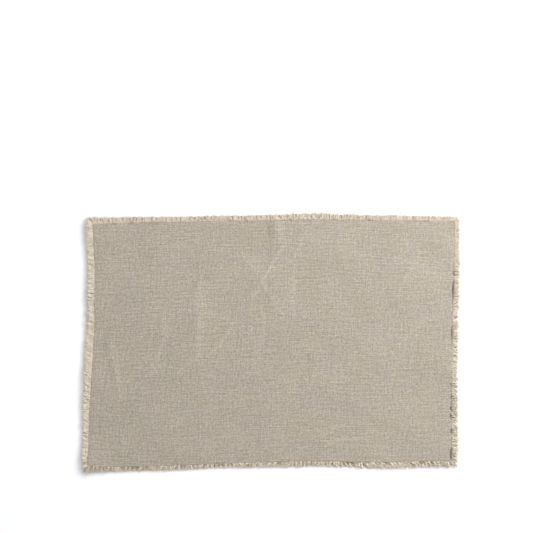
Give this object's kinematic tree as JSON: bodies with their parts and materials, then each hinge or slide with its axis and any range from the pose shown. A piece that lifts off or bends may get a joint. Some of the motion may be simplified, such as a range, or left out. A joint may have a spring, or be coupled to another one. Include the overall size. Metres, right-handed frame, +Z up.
{
  "type": "fringed cloth placemat",
  "caption": "Flat woven table mat: a rectangular cloth with a short frayed fringe all round, lying with slightly lifted corners and soft creases.",
  "frame": {"origin": "on the table, under the middle of the mat's overall box", "axes": "+X along the long side to the right, +Y towards the back edge, +Z up from the table"},
  "size_m": [0.4868, 0.3336, 0.0058],
  "materials": {
    "woven_linen": "matt natural linen plain weave with slubs",
    "frayed_yarn": "matt cream linen yarn ends"
  },
  "bodies": {
    "root": {"cloth": "woven_linen", "fringe_left": "frayed_yarn", "fringe_right": "frayed_yarn", "fringe_front": "frayed_yarn", "fringe_back": "frayed_yarn"}
  },
  "joints": []
}
